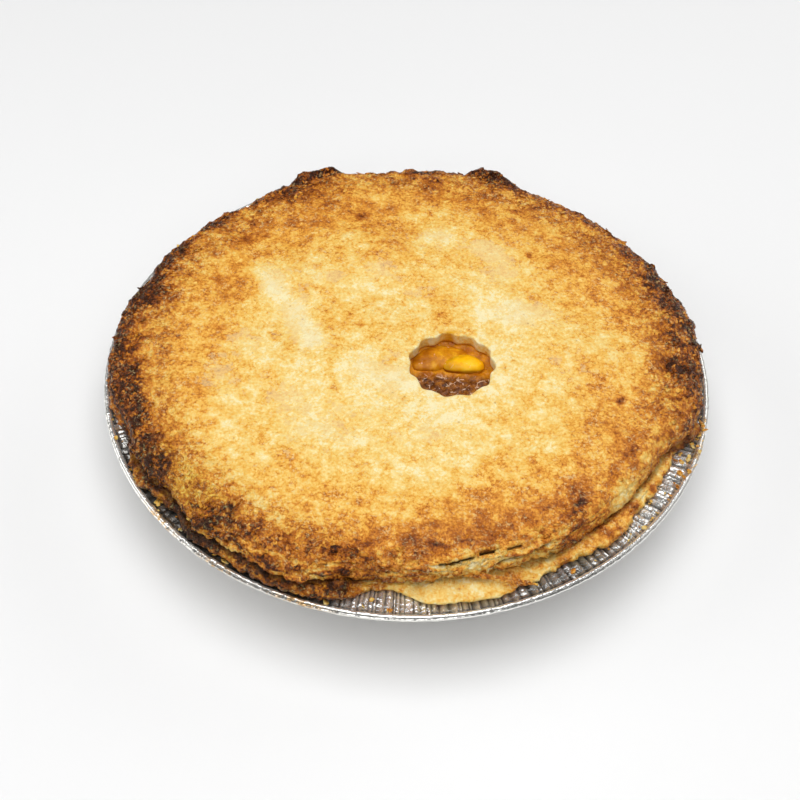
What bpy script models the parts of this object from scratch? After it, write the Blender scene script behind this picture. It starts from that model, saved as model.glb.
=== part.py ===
"""A double-crust peach pie in its pleated foil pan, at its real size.

The origin is on the pan's axis at the level that the pan stands on, +Z is up and -Y is the pie's front.
Angles round the pie are degrees, anticlockwise from +X seen from above. Lengths are metres.
"""

import math
import random

import bmesh
import bpy
import numpy as np

MM = 0.001

# Foil pan: a flat base, a pleated wall, a flat flange and a rolled bead
RIM_RADIUS = 116.0 * MM
BEAD_RADIUS = 1.7 * MM
FLANGE_HEIGHT = 30.0 * MM
FLANGE_INNER_RADIUS = 102.2 * MM
FLANGE_END = RIM_RADIUS - 2.0 * BEAD_RADIUS
BASE_RADIUS = 87.0 * MM
FOIL_THICKNESS = 0.5 * MM
WALL_SETBACK = 0.9 * FOIL_THICKNESS
CORNER_SETBACK = 0.6 * FOIL_THICKNESS
PLEATS = 84
PLEAT_DEPTH = 0.5 * MM
FLANGE_RIPPLE = 0.25 * MM
BEAD_ANGLES = (150, 90, 20, -60, -140)

# Crust: a lid on a bottom crust whose edge lies on the flange as a lip
CRUST_COLUMNS = 108
PAN_GAP = 0.35 * MM
FLANGE_CLEARANCE = 0.1 * MM
BEAD_RAMP = (3.6 * MM, 1.4 * MM)
SHOULDER_RADIUS = 98.4 * MM
SHOULDER_RAGGEDNESS = 0.5 * MM
DOME_RISE = 17.0 * MM
DOME_FALL = 2.2 * MM
UNDULATION = 0.8 * MM
CRAGS = 0.35 * MM
OUTLINE_RAGGEDNESS = 0.4 * MM
LID_INSET = 0.3 * MM
LID_THICKNESS = 5.2 * MM
LIP_THICKNESS = 3.5 * MM
LIP_ROUNDING = 0.9 * MM
LIP_SLOPE = 1.6 * MM
LIP_REACH = 113.0 * MM
LID_REACH = 112.4 * MM
LID_EDGE_HEIGHT = 2.2 * MM
LID_EDGE_LIFT = 0.5 * MM
EDGE_TUCK = 0.7 * MM
CREASE_DEPTH = 1.4 * MM
OPEN_CREASE_DEPTH = 1.8 * MM
CRUST_BASE_THICKNESS = 4.8 * MM
CAVITY_BASE_RADIUS = 83.5 * MM
CAVITY_WALL_RADIUS = 95.8 * MM
CAVITY_NECK = (93.5 * MM, 36.0 * MM)
CAVITY_SHOULDER = (87.0 * MM, 39.9 * MM)

# The back edge is pressed down: start, end and softness in degrees, then what it takes off each size
BACK_PRESS = (30, 156, 42)
PRESSED_REACH = 2.8 * MM
PRESSED_SHOULDER = 2.6 * MM
PRESSED_DOME = 1.4 * MM
PRESSED_LIP = 1.5 * MM
PRESSED_EDGE = 1.1 * MM

# Vent: a hole cut in the lid with a small fluted cutter
VENT_CENTRE = (16.5 * MM, -10.4 * MM)
VENT_RADIUS = 15.8 * MM
VENT_FLUTES = 11
VENT_FLUTE_DEPTH = 0.7 * MM
VENT_RIM_ROUNDING = 0.6 * MM

# Filling: syrup and fruit up to the lid, lower in the vent, with two peach slices in it
FILLING_COLUMNS = 54
FILLING_GAP = 0.4 * MM
VENT_DIP = 2.6 * MM
DIP_START = 14.0 * MM
DIP_RUN = 2.7 * MM
FRUIT_LUMPS = 0.5 * MM
LUMP_FINENESS = 6.0

# Bays and swells of the lip's outline: centre and half width in degrees, push in metres
LIP_FEATURES = {
    "right swell": (18, 12, 1.1 * MM),
    "back gap": (99, 5.5, -2.5 * MM),
    "back left notch": (130, 3, -1.6 * MM),
    "left lump": (169, 4, 1.6 * MM),
    "left swell": (184, 9, 1.5 * MM),
    "left bay": (202, 5, -3.2 * MM),
    "left corner": (211.5, 3, 1.6 * MM),
    "front left bay": (221, 6, -2.8 * MM),
    "front left swell": (250, 6, 1.4 * MM),
    "front bay": (267.5, 6.5, -9.0 * MM),
    "front tongue": (283, 8, -2.0 * MM),
    "right bulge": (314.5, 4, 2.0 * MM),
    "right notch": (338, 5, -1.5 * MM),
}
LIP_SETBACK = (292, 343, 5, -5.2 * MM)
LID_FEATURES = {
    "right swell": (18, 12, 0.9 * MM),
    "back gap": (99, 5.5, -2.5 * MM),
    "back left notch": (130, 3, -1.6 * MM),
    "left lump": (169, 4, 1.6 * MM),
    "left swell": (184, 9, 1.2 * MM),
    "left bay": (202, 5, -2.6 * MM),
    "front left bay": (220, 7, -3.6 * MM),
    "front left point": (229, 3, 1.4 * MM),
    "front left edge": (238, 8, -1.6 * MM),
}
LID_SETBACK = (256, 341, 8, -9.0 * MM)
LIFTED_EDGE = (213, 246, 5, 1.6 * MM)
FISSURE = (279, 300, 4, 1.8 * MM)
OPEN_CREASE = (212, 352, 8)

# Scorched flaps of dough that stand up from the rim: start, end and end softness in degrees, height in metres
FLAPS = {
    "back left flap": (107.0, 117.0, 1.4, 5.6 * MM),
    "back right flap": (68.5, 77.0, 2.6, 6.0 * MM),
}

# Peach slices: centre, yaw in degrees, length, width, height and bow
SLICES = {
    "peach_slice_front": ((21.2 * MM, -5.0 * MM, 39.4 * MM), 2, 16.0 * MM, 8.6 * MM, 5.4 * MM, 1.6 * MM),
    "peach_slice_back": ((12.6 * MM, -2.4 * MM, 38.4 * MM), 8, 24.0 * MM, 12.5 * MM, 6.6 * MM, 2.4 * MM),
}
SLICE_CLEARANCE = 0.35 * MM
SLICE_RINGS = 11
SLICE_SIDES = 10

COLOURS = {
    "foil_pan": ((0.80, 0.80, 0.80), 0.28, 1.0),
    "crust": ((0.72, 0.42, 0.13), 0.62, 0.0),
    "filling": ((0.26, 0.09, 0.02), 0.15, 0.0),
    "peach_slice_front": ((0.83, 0.40, 0.02), 0.22, 0.0),
    "peach_slice_back": ((0.66, 0.26, 0.02), 0.22, 0.0),
}


def turn(azimuth, centre):
    """How far azimuth lies from centre, in degrees from -180 to 180."""
    return (azimuth - centre + 180.0) % 360.0 - 180.0


def swell(azimuth, centre, half_width):
    return np.exp(-((turn(azimuth, centre) / half_width) ** 2))


def arc(azimuth, start, end, soft):
    """1 between two azimuths and 0 outside them, with soft ends."""
    middle, half = (start + end) / 2.0, (end - start) / 2.0
    return 1.0 / (1.0 + np.exp(np.clip((np.abs(turn(azimuth, middle)) - half) / (soft / 3.0), -40, 40)))


def smooth_step(value, low, high):
    share = np.clip((value - low) / (high - low), 0.0, 1.0)
    return share * share * (3.0 - 2.0 * share)


def ripple(azimuth, seed, counts=(7, 11, 17, 26, 37)):
    """Seeded unevenness round the pie, from about -1 to 1."""
    draw = random.Random(seed)
    total = np.zeros_like(azimuth)
    for count in counts:
        total += np.cos(np.radians(count * azimuth) + draw.uniform(0.0, 2.0 * math.pi))
    return total / math.sqrt(2.0 * len(counts))


def undulation(x, y):
    """Soft rise and fall of the lid over the fruit below it, from about -1 to 1."""
    draw = random.Random(7)
    total = np.zeros_like(x)
    for wavelength in (34, 41, 52, 63, 77):
        heading = draw.uniform(0.0, math.pi)
        phase = draw.uniform(0.0, 2.0 * math.pi)
        along = (x * math.cos(heading) + y * math.sin(heading)) / (wavelength * MM)
        total += np.sin(2.0 * math.pi * along + phase)
    return total / 3.0


def back_press(azimuth):
    return arc(azimuth, *BACK_PRESS)


def dome(x, y):
    """Height of the lid's smooth upper surface."""
    share = np.hypot(x, y) / SHOULDER_RADIUS
    pressed = PRESSED_DOME * back_press(np.degrees(np.arctan2(y, x))) * smooth_step(share, 0.6, 1.0)
    return FLANGE_HEIGHT + DOME_RISE - DOME_FALL * share**2 - pressed


def shoulder_reach(azimuth):
    reach = SHOULDER_RADIUS + SHOULDER_RAGGEDNESS * ripple(azimuth, 13)
    return reach - PRESSED_SHOULDER * back_press(azimuth)


def lip_reach(azimuth):
    reach = LIP_REACH + LIP_SETBACK[3] * arc(azimuth, *LIP_SETBACK[:3]) - PRESSED_REACH * back_press(azimuth)
    for centre, half_width, push in LIP_FEATURES.values():
        reach = reach + push * swell(azimuth, centre, half_width)
    return reach + OUTLINE_RAGGEDNESS * ripple(azimuth, 11)


def lid_reach(azimuth):
    reach = LID_REACH + LID_SETBACK[3] * arc(azimuth, *LID_SETBACK[:3]) - PRESSED_REACH * back_press(azimuth)
    for centre, half_width, push in LID_FEATURES.values():
        reach = reach + push * swell(azimuth, centre, half_width)
    return np.minimum(reach + OUTLINE_RAGGEDNESS * ripple(azimuth, 12), lip_reach(azimuth) - LID_INSET)


def flap_rise(azimuth):
    rise = np.zeros_like(azimuth)
    for start, end, soft, height in FLAPS.values():
        rise = rise + height * arc(azimuth, start, end, soft)
    return rise


def under_crust(radius):
    """Lowest height of the crust over the flange, which rises where it crosses the bead."""
    over_flange = FLANGE_HEIGHT + FLANGE_RIPPLE + PAN_GAP + FLANGE_CLEARANCE
    over_bead = FLANGE_HEIGHT + BEAD_RADIUS + PAN_GAP
    share = smooth_step(radius, FLANGE_END - BEAD_RAMP[0], FLANGE_END - BEAD_RAMP[1])
    return over_flange + (over_bead - over_flange) * share


def round_the_axis(azimuth, radius, height):
    """One ring of points, at a radius and height that may change round it."""
    angle = np.radians(azimuth)
    radius = np.broadcast_to(radius, azimuth.shape)
    height = np.broadcast_to(height, azimuth.shape)
    return np.stack([radius * np.cos(angle), radius * np.sin(angle), height], axis=1)


def from_vent(azimuth, outer_radius, share, near_radius):
    """Points part of the way from a circle round the vent to a circle round the axis."""
    outer = round_the_axis(azimuth, outer_radius, 0.0)[:, :2] - VENT_CENTRE
    reach = np.hypot(outer[:, 0], outer[:, 1])
    bearing = np.arctan2(outer[:, 1], outer[:, 0])
    near = near_radius + VENT_FLUTE_DEPTH * np.cos(VENT_FLUTES * bearing)
    distance = near + (reach - near) * share
    return VENT_CENTRE + outer / reach[:, None] * distance[:, None]


def on_surface(points, height):
    return np.column_stack([points, np.broadcast_to(height, len(points))])


def solid(name, rings):
    """A closed solid through rings of points. A ring of one point is a pole."""
    mesh = bmesh.new()
    made = [[mesh.verts.new(point) for point in ring] for ring in rings]
    for first, second in zip(made[:-1], made[1:]):
        count = max(len(first), len(second))
        for here in range(count):
            after = (here + 1) % count
            if len(first) == 1:
                mesh.faces.new((first[0], second[after], second[here]))
            elif len(second) == 1:
                mesh.faces.new((first[here], first[after], second[0]))
            else:
                mesh.faces.new((first[here], first[after], second[after], second[here]))
    bmesh.ops.recalc_face_normals(mesh, faces=mesh.faces)
    data = bpy.data.meshes.new(name)
    mesh.to_mesh(data)
    mesh.free()
    data.shade_smooth()
    data.set_sharp_from_angle(angle=math.radians(40))
    made_object = bpy.data.objects.new(name, data)
    bpy.context.scene.collection.objects.link(made_object)
    if name in COLOURS:
        data.materials.append(material(name, *COLOURS[name]))
    return made_object


def material(name, colour, roughness, metallic):
    made = bpy.data.materials.new(name)
    made.use_nodes = True
    shader = made.node_tree.nodes["Principled BSDF"]
    shader.inputs["Base Color"].default_value = (*colour, 1.0)
    shader.inputs["Roughness"].default_value = roughness
    shader.inputs["Metallic"].default_value = metallic
    return made


def foil_pan():
    azimuth = np.arange(2 * PLEATS) * 360.0 / (2 * PLEATS)
    fold = np.where(np.arange(2 * PLEATS) % 2, 1.0, -1.0)
    wall_top = FLANGE_INNER_RADIUS + PLEAT_DEPTH * fold
    upper = FLANGE_HEIGHT + FLANGE_RIPPLE * fold
    lower = upper - FOIL_THICKNESS
    rings = [
        [(0.0, 0.0, FOIL_THICKNESS)],
        round_the_axis(azimuth, BASE_RADIUS - CORNER_SETBACK, FOIL_THICKNESS),
        round_the_axis(azimuth, wall_top, upper),
        round_the_axis(azimuth, FLANGE_END, upper),
    ]
    for angle in BEAD_ANGLES:
        out = BEAD_RADIUS * math.cos(math.radians(angle))
        up = BEAD_RADIUS * math.sin(math.radians(angle))
        rings.append(round_the_axis(azimuth, RIM_RADIUS - BEAD_RADIUS + out, FLANGE_HEIGHT + up))
    rings += [
        round_the_axis(azimuth, FLANGE_END, lower),
        round_the_axis(azimuth, wall_top + WALL_SETBACK, lower),
        round_the_axis(azimuth, BASE_RADIUS, 0.0),
        [(0.0, 0.0, 0.0)],
    ]
    return solid("foil_pan", rings)


def lid_rings(azimuth, shoulder):
    """The vent's wall and the lid's upper surface, from the vent's lower edge out to the shoulder."""
    rings = []
    for share in (0.0, 1.0):
        wall = from_vent(azimuth, shoulder, 0.0, VENT_RADIUS)
        low = dome(wall[:, 0], wall[:, 1]) - LID_THICKNESS
        high = dome(wall[:, 0], wall[:, 1]) - VENT_RIM_ROUNDING
        rings.append(on_surface(wall, low + (high - low) * share))
    for share in (0.02, 0.16, 0.32, 0.48, 0.63, 0.77, 0.89, 1.0):
        flat = from_vent(azimuth, shoulder, share, VENT_RADIUS)
        uneven = UNDULATION * undulation(flat[:, 0], flat[:, 1]) * smooth_step(share, 0.0, 0.3)
        rings.append(on_surface(flat, dome(flat[:, 0], flat[:, 1]) + uneven))
    return rings


def edge_rings(azimuth, shoulder):
    """The lid's rounded edge, the crease under it and the lip of the bottom crust on the flange."""
    lip, lid = lip_reach(azimuth), lid_reach(azimuth)
    crease = lid - CREASE_DEPTH - OPEN_CREASE_DEPTH * arc(azimuth, *OPEN_CREASE)
    lip_thickness = LIP_THICKNESS - PRESSED_LIP * back_press(azimuth)
    lip_top = under_crust(lip) + lip_thickness
    lid_bottom = lip_top + LID_EDGE_LIFT + LIFTED_EDGE[3] * arc(azimuth, *LIFTED_EDGE[:3])
    lid_middle = lid_bottom + LID_EDGE_HEIGHT - PRESSED_EDGE * back_press(azimuth)
    top = round_the_axis(azimuth, shoulder, 0.0)
    shoulder_height = dome(top[:, 0], top[:, 1]) + UNDULATION * undulation(top[:, 0], top[:, 1])
    flap = flap_rise(azimuth)
    rings = []
    for number, (angle, flap_share) in enumerate(((24, 0.0), (46, 0.1), (64, 0.9), (78, 1.0), (90, 0.7))):
        out = (lid - shoulder) * math.sin(math.radians(angle))
        up = (shoulder_height - lid_middle) * math.cos(math.radians(angle))
        crags = CRAGS * ripple(azimuth, 20 + number, (13, 19, 29, 41, 53))
        split = FISSURE[3] * arc(azimuth, *FISSURE[:3]) * (number == 1)
        height = lid_middle + up + flap * flap_share + crags - split
        rings.append(round_the_axis(azimuth, shoulder + out - split, height))
    rings += [
        round_the_axis(azimuth, lid - EDGE_TUCK, lid_bottom),
        round_the_axis(azimuth, crease, lip_top),
        round_the_axis(azimuth, np.minimum(lid - EDGE_TUCK, lip - LIP_SLOPE), lip_top),
        round_the_axis(azimuth, lip - LIP_ROUNDING, lip_top - LIP_ROUNDING),
        round_the_axis(azimuth, lip, under_crust(lip) + 0.5 * lip_thickness),
        round_the_axis(azimuth, lip - LIP_ROUNDING, under_crust(lip)),
    ]
    return rings


def lower_rings(azimuth):
    """The bottom crust's outside, from the flange down the pan's wall to its base."""
    lip = lip_reach(azimuth)
    wall_top = FLANGE_INNER_RADIUS - PLEAT_DEPTH - PAN_GAP
    inner = np.minimum(lip - LIP_SLOPE, FLANGE_END - BEAD_RAMP[0])
    floor = FOIL_THICKNESS + PAN_GAP
    return [
        round_the_axis(azimuth, inner, under_crust(inner)),
        round_the_axis(azimuth, wall_top, under_crust(wall_top)),
        round_the_axis(azimuth, BASE_RADIUS - CORNER_SETBACK - 2.0 * PAN_GAP, floor),
        [(0.0, 0.0, floor)],
    ]


def cavity_outline(inset):
    """The space under the lid as radius and height, from its base out and up to the lid's underside."""
    return [
        (CAVITY_BASE_RADIUS - inset, FOIL_THICKNESS + PAN_GAP + CRUST_BASE_THICKNESS + inset),
        (CAVITY_WALL_RADIUS - inset, FLANGE_HEIGHT),
        (CAVITY_NECK[0] - inset, CAVITY_NECK[1] - 0.3 * inset),
        (CAVITY_SHOULDER[0] - 0.6 * inset, CAVITY_SHOULDER[1] - inset),
    ]


def crust():
    """One closed solid: cavity, vent wall, lid, edge and the bottom crust's outside, in that order."""
    azimuth = np.arange(CRUST_COLUMNS) * 360.0 / CRUST_COLUMNS
    shoulder = shoulder_reach(azimuth)
    outline = cavity_outline(0.0)
    rings = [[(0.0, 0.0, outline[0][1])]]
    rings += [round_the_axis(azimuth, *point) for point in outline]
    for share in (0.55, 0.12):
        flat = from_vent(azimuth, outline[-1][0], share, VENT_RADIUS)
        rings.append(on_surface(flat, dome(flat[:, 0], flat[:, 1]) - LID_THICKNESS))
    rings += lid_rings(azimuth, shoulder)
    rings += edge_rings(azimuth, shoulder)
    rings += lower_rings(azimuth)
    return solid("crust", rings)


def filling():
    """The syrup and fruit under the lid, a little lower where the vent shows it."""
    azimuth = np.arange(FILLING_COLUMNS) * 360.0 / FILLING_COLUMNS
    outline = cavity_outline(FILLING_GAP)
    rings = [[(0.0, 0.0, outline[0][1])]]
    rings += [round_the_axis(azimuth, *point) for point in outline]
    for near in (50.0 * MM, 19.0 * MM, 15.0 * MM, 9.0 * MM, 4.0 * MM):
        flat = from_vent(azimuth, outline[-1][0], 0.0, near)
        in_vent = 1.0 - smooth_step(near, DIP_START, VENT_RADIUS + DIP_RUN)
        lumps = FRUIT_LUMPS * undulation(flat[:, 0] * LUMP_FINENESS, flat[:, 1] * LUMP_FINENESS)
        top = dome(flat[:, 0], flat[:, 1]) - LID_THICKNESS - FILLING_GAP
        rings.append(on_surface(flat, top - (VENT_DIP - lumps) * in_vent))
    middle = dome(np.array(VENT_CENTRE[0]), np.array(VENT_CENTRE[1])) - LID_THICKNESS - FILLING_GAP
    rings.append([(*VENT_CENTRE, float(middle) - VENT_DIP)])
    return solid("filling", rings)


def slice_rings(centre, yaw, length, width, height, bow, grown=0.0):
    """A crescent of peach: a bowed spine with an egg-shaped section that tapers to both ends."""
    across_yaw, along_yaw = math.sin(math.radians(yaw)), math.cos(math.radians(yaw))
    rings = []
    for ring in range(SLICE_RINGS + 1):
        share = -1.0 + 2.0 * ring / SLICE_RINGS
        taper = math.sqrt(max(0.0, 1.0 - abs(share) ** 2.4))
        along = share * (length / 2.0 + grown)
        offset = bow * (1.0 - share**2)
        section = []
        for side in range(SLICE_SIDES if 0 < ring < SLICE_RINGS else 1):
            angle = 2.0 * math.pi * side / SLICE_SIDES
            across = offset + math.cos(angle) * (width / 2.0 * taper + grown) * (taper > 0)
            up = math.sin(angle) * (height / 2.0 * taper + grown) * (taper > 0)
            section.append((
                centre[0] + along * along_yaw - across * across_yaw,
                centre[1] + along * across_yaw + across * along_yaw,
                centre[2] + up,
            ))
        rings.append(section)
    return rings


def cut(target, rings, name):
    """Takes the space of a grown slice out of target."""
    cutter = solid(name, rings)
    cutter.hide_render = True
    cutter.display_type = "WIRE"
    boolean = target.modifiers.new(name, "BOOLEAN")
    boolean.operation = "DIFFERENCE"
    boolean.solver = "EXACT"
    boolean.object = cutter


def peach_slices(bed):
    """Two slices sunk in the filling. The back one is cut clear of the front one too."""
    made = {name: solid(name, slice_rings(*sizes)) for name, sizes in SLICES.items()}
    for name, sizes in SLICES.items():
        cut(bed, slice_rings(*sizes, grown=SLICE_CLEARANCE), f"bed_of_{name}")
    front = slice_rings(*SLICES["peach_slice_front"], grown=SLICE_CLEARANCE)
    cut(made["peach_slice_back"], front, "clear_of_front_slice")


def main():
    for old in list(bpy.data.objects):
        bpy.data.objects.remove(old)
    foil_pan()
    crust()
    peach_slices(filling())


main()
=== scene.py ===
"""The looks of a peach pie in its pleated foil pan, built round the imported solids.

The origin is on the pan's axis at the floor, +Z is up and -Y is the pie's front. The pie's lengths are
millimetres, which become metres where a mesh is made. The studio's lengths are metres. Angles round the
pie are degrees, anticlockwise from +X seen from above.
"""

import itertools
import math
import random

import bmesh
import bpy
import numpy as np
from mathutils import Matrix, Vector


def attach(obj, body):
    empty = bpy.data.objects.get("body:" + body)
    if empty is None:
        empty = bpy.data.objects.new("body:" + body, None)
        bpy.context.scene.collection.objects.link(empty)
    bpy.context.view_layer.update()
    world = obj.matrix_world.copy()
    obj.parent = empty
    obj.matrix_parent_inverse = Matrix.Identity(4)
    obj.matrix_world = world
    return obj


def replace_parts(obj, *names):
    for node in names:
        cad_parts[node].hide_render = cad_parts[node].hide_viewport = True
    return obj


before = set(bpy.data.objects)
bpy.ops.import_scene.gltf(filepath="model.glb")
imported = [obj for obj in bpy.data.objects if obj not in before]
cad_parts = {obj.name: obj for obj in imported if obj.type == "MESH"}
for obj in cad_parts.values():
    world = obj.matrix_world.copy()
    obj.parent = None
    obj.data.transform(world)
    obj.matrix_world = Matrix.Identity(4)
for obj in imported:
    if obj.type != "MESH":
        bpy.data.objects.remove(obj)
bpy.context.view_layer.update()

MM = 0.001

# Foil pan
RIM_RADIUS = 116
BEAD_RADIUS = 1.7
FLANGE_HEIGHT = 30
FLANGE_INNER_RADIUS = 102.2
FLANGE_END = RIM_RADIUS - 2 * BEAD_RADIUS
BASE_RADIUS = 87
FOIL_THICKNESS = 0.25
PLEATS = 300
PLEAT_DEPTH = 0.55
FLANGE_RIPPLE = 0.45
PLEAT_RISE = 0.55
ROLL_RADIUS = 1.35
BEAD_SIDES = 24
BEAD_SEAM = 0.3

# Crust
PAN_GAP = 0.35
FLANGE_CLEARANCE = 0.35
# The crust rises over the bead between these distances from the flange's end
BEAD_RAMP = (3.6, 1.4)
SHOULDER_RADIUS = 98.4
SHOULDER_RAGGEDNESS = 0.5
DOME_RISE = 17
DOME_FALL = 2.2
UNDULATION = 0.8
OUTLINE_RAGGEDNESS = 0.4
LID_INSET = 0.3
LID_THICKNESS = 5.2
LIP_THICKNESS = 3.5
LIP_ROUNDING = 0.9
LIP_FALL = 0.9
LIP_REACH = 113
LID_REACH = 112.4
LID_EDGE_HEIGHT = 2.2
LID_EDGE_LIFT = 0.5
EDGE_TUCK = 0.7
CAVITY_FLOOR = 5.65
CAVITY_BASE_RADIUS = 83.5
CAVITY_WALL_RADIUS = 95.8
# How many of the lip's outermost rings are torn
RAGGED_RINGS = 8

# The back edge is pressed down: start, end and softness in degrees, then what it takes off each size
BACK_PRESS = (30, 156, 42)
PRESSED_REACH = 2.8
PRESSED_SHOULDER = 2.6
PRESSED_DOME = 1.4
PRESSED_LIP = 1.5
PRESSED_EDGE = 1.1

# Vent
VENT_CENTRE = (16.5, -10.4)
VENT_RADIUS = 15.8
VENT_FLUTES = 11
VENT_FLUTE_DEPTH = 0.6
VENT_RIM_ROUNDING = 0.7
VENT_UNEVENNESS = 0.3
VENT_DIP = 2.6
FILLING_GAP = 0.4
# Syrup on the vent's back rim: centre from the vent's centre, then half sizes, along x and y
STAIN = (-0.4, 16.6, 3.2, 1.3)

# Bays and swells of the outlines, from the right round the back to the front: centre and half width in
# degrees, then the push of the lip and of the lid
EDGE_FEATURES = (
    (18, 12, 1.1, 0.9), (99, 5.5, -2.5, -2.5), (130, 3, -1.6, -1.6), (169, 4, 1.6, 1.6),
    (184, 9, 1.5, 1.2), (202, 5, -3.2, -2.6), (211.5, 3, 1.6, 0), (221, 6, -2.8, 0),
    (220, 7, 0, -3.6), (229, 3, 0, 1.4), (238, 8, 0, -1.6), (250, 6, 1.4, 0),
    (267.5, 6.5, -9, 0), (283, 8, -2, 0), (314.5, 4, 2, 0), (338, 5, -1.5, 0),
)
# Where lip and lid are set back, and where the lid's edge is lifted: start, end and softness in degrees,
# and how far
LIP_SETBACK = (292, 343, 5, -5.2)
LID_SETBACK = (256, 341, 8, -9)
LIFTED_EDGE = (213, 246, 5, 1.6)
# Scorched flaps at the back: start, end and softness in degrees, and how far they rise
FLAPS = (
    (107, 117, 1.4, 5.6), (68.5, 77, 2.6, 6),
)

# Browning of the lid: 0 is pale dough, 1 is burnt. First its growth outwards: how much, from and to which
# radius. Then patches: azimuth, radius, half length round the pie, half width across, and strength. The
# patch at 233 degrees is painted shade in the fold beside the flap, not browning
LID_BASE_BROWNING = 0.25
LID_GROWTH = ((0.08, 34, 56), (0.12, 62, 82), (0.12, 84, 95), (0.19, 96, 106), (0.08, 106, 112))
LID_PATCHES = (
    # Right, back and left edge, and the flap at the front left
    (14, 108, 40, 7, 0.26), (8, 100, 30, 5, 0.12), (62, 108, 34, 7, 0.1), (96, 104, 40, 6, 0.1),
    (124, 102, 20, 7, 0.15), (150, 109, 26, 7, 0.14), (190, 111, 44, 7, 0.3), (166, 104, 9, 7, 0.26),
    (199, 103, 14, 6, 0.18), (196, 92, 40, 6, -0.08), (228, 92, 36, 6, -0.1), (239, 101, 10, 5, 0.17),
    # (233, 103, 2.2, 7, 0.3) is painted shade in the fold at the flap's right side
    (223, 104, 13, 7, -0.05), (233, 103, 2.2, 7, 0.3), (211, 108, 9, 5, 0.16), (252, 102, 16, 6, 0.07),
    (241, 96, 8, 4, -0.08),
    # Front edge with its layers, and what lies next to the other edges
    (281, 97, 11, 3, 0.12), (279, 104, 12, 4, -0.3), (300, 105, 8, 3, -0.14), (90, 94, 16, 8, 0.07),
    (262, 96, 14, 4, 0.16), (284, 91, 24, 5, 0.14), (279, 94, 8, 3, 0.14), (301, 92, 6, 4, 0.06),
    (313, 91, 6, 4, 0.12), (328, 92, 7, 4, 0.18), (343.3, 84, 3, 1.6, 0.42), (357, 100, 8, 6, 0.26),
    (320, 102, 15, 4.5, -0.34), (337, 100, 10, 4, -0.12), (314, 98, 30, 2.6, 0.23), (28, 92, 18, 4, 0.12),
    (114, 97, 16, 6, 0.12), (148, 94, 30, 7, -0.1), (350, 104, 10, 4, -0.28), (258, 109, 26, 4, -0.16),
    (290, 103, 18, 4, -0.36), (303, 100, 7, 4, -0.16), (45, 103, 12, 4, -0.08),
    # Middle of the lid
    (238, 53, 21, 19, -0.18), (222, 79, 16, 6, -0.2), (238, 78, 12, 5, -0.1), (291, 30, 14, 9, -0.2),
    (208, 32, 14, 14, -0.1), (335, 56, 24, 7, -0.13), (5, 42, 16, 18, -0.07), (160, 58, 12, 9, -0.12),
    (189, 56, 9, 6, -0.1), (180, 79, 9, 5, -0.11), (104, 43, 12, 8, 0.13), (100, 85, 12, 4, -0.12),
    (77, 28, 9, 6, 0.18), (71, 79, 14, 6, -0.11), (281, 78, 13, 13, 0.1), (252, 43, 12, 7, 0.15),
    (168, 71, 11, 9, 0.05), (204, 83, 13, 7, 0.11), (138, 47, 20, 11, 0.1), (49, 63, 15, 12, 0.1),
    (130, 88, 10, 5, 0.1), (259, 86, 10, 4, 0.1), (1, 83, 17, 7, -0.13), (250, 17, 12, 13, -0.14),
    (30, 46, 18, 12, -0.13), (292, 44, 20, 12, -0.1), (281, 59, 26, 11, -0.17), (213, 76, 18, 12, -0.12),
    (135, 50, 13, 11, -0.09), (118, 42, 8, 7, -0.14), (80, 61, 9, 8, -0.08), (55, 60, 16, 10, -0.1),
    (118, 80, 26, 11, 0.13), (104, 62, 18, 10, 0.05), (157, 74, 20, 12, 0.08), (172, 88, 20, 9, 0.06),
    (30, 74, 26, 10, 0.06), (64, 84, 30, 8, 0.08), (333, 76, 22, 8, 0.04), (247, 79, 12, 6, 0.12),
    (234, 72, 8, 5, 0.12), (186, 29, 10, 7, 0.14), (90, 62, 4, 3, 0.2), (66, 66, 4, 3, 0.18),
    (29, 55, 3, 3, 0.16), (47, 68.6, 1.6, 1.2, 0.4), (158, 18.8, 1.8, 1, 0.4), (243, 13.4, 3.5, 2.5, 0.22),
    (105, 68, 4, 2.5, 0.25), (106, 75, 3, 2, 0.25), (128, 85, 4, 3, 0.2),
)
# Dry, floury patches: centre and half size along x and y, and strength
FLOURY = (
    (-53, 32, 6, 9, 0.9), (-44, 14, 6, 10, 0.9), (-36, 0, 6, 7, 0.7), (-28, -42, 18, 14, 0.5),
    (-5, -17, 8, 9, 0.8), (45, 18, 14, 9, 0.75), (-33, 34, 8, 6, 0.7), (-12, 40, 8, 6, 0.75),
    (10, 60, 9, 6, 0.65), (30, 54, 9, 7, 0.8), (36, 40, 8, 8, 0.8), (-70, -18, 8, 12, 0.55),
    (-18, -12, 7, 6, 0.5), (10, -45, 16, 8, 0.45), (-45, -28, 8, 8, 0.6), (60, -10, 12, 8, 0.4),
    (-62, 0, 7, 8, 0.5), (2, 28, 14, 6, 0.4),
)
# Streaks of browning: start and end as x and y, half width and strength
LID_STREAKS = (
    (-58, 40, -35, 0, 5, -0.32), (-85, 48, -62, 62, 5, 0.16),
    (-30, -15, -22, -32, 1.6, 0.18), (-17, 53, -5, 56, 0.9, 0.22),
    (24, 48, 40, 30, 4, 0.08),
)
# Browning of the lip: start and end azimuth, softness in degrees, and the value there
LIP_BASE_BROWNING = 0.8
LIP_BROWNING = {
    "left olive": (206, 244, 5, 0.8),
    "front left": (244, 262, 4, 0.84),
    "front": (262, 268, 4, 0.5),
    "pale tongue": (268, 291, 3, 0.22),
    "front right": (291, 313, 4, 0.44),
    "right lip": (313, 345, 4, 0.5),
}
# Stops of the crust's colour: browning, then red, green and blue as seen on screen, 0 to 255
CRUST_COLOURS = (
    (0, (248, 233, 185)), (0.14, (247, 220, 146)), (0.28, (244, 203, 109)),
    (0.42, (239, 179, 73)), (0.55, (220, 143, 48)), (0.68, (184, 106, 29)),
    (0.8, (144, 74, 18)), (0.9, (100, 48, 12)), (1, (60, 28, 8)),
)

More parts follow.
